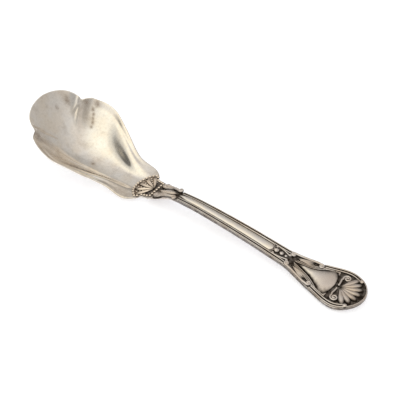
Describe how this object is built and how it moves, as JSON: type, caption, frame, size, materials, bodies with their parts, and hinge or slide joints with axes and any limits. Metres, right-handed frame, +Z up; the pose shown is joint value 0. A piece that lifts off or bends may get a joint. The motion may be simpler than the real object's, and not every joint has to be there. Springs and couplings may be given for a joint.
{
  "type": "sugar spoon",
  "caption": "Silver sugar spoon with a deep lobed and creased bowl, a thread-edged stem and a flared scroll-and-shell handle end, for lifting and pouring sugar.",
  "frame": {"origin": "on the table under the middle of the spoon's box, where the terminal's back and the bowl's underside rest", "axes": "+X from the bowl's tip to the handle's tip, +Y to the right seen from the handle's end, +Z up"},
  "size_m": [0.151, 0.04, 0.0244],
  "materials": {
    "polished_silver": "polished and softly worn",
    "oxidised_silver": "dark oxide in the hollows, bright on the edges and back",
    "relief_silver": "polished high places with oxide at the foot",
    "hard_solder": "filed flush"
  },
  "bodies": {
    "root": {"bowl": "polished_silver", "handle": "oxidised_silver", "solder_seam": "hard_solder", "heel_palmette": "relief_silver", "neck_husk": "relief_silver", "collar_scroll_left": "relief_silver", "collar_scroll_right": "relief_silver", "stem_panel": "relief_silver", "stem_moulding_left": "relief_silver", "stem_moulding_right": "relief_silver", "bead_drop": "relief_silver", "shoulder_scroll_left": "relief_silver", "shoulder_scroll_right": "relief_silver", "border_left": "relief_silver", "border_right": "relief_silver", "terminal_panel": "relief_silver", "tip_shell": "relief_silver"}
  },
  "joints": []
}
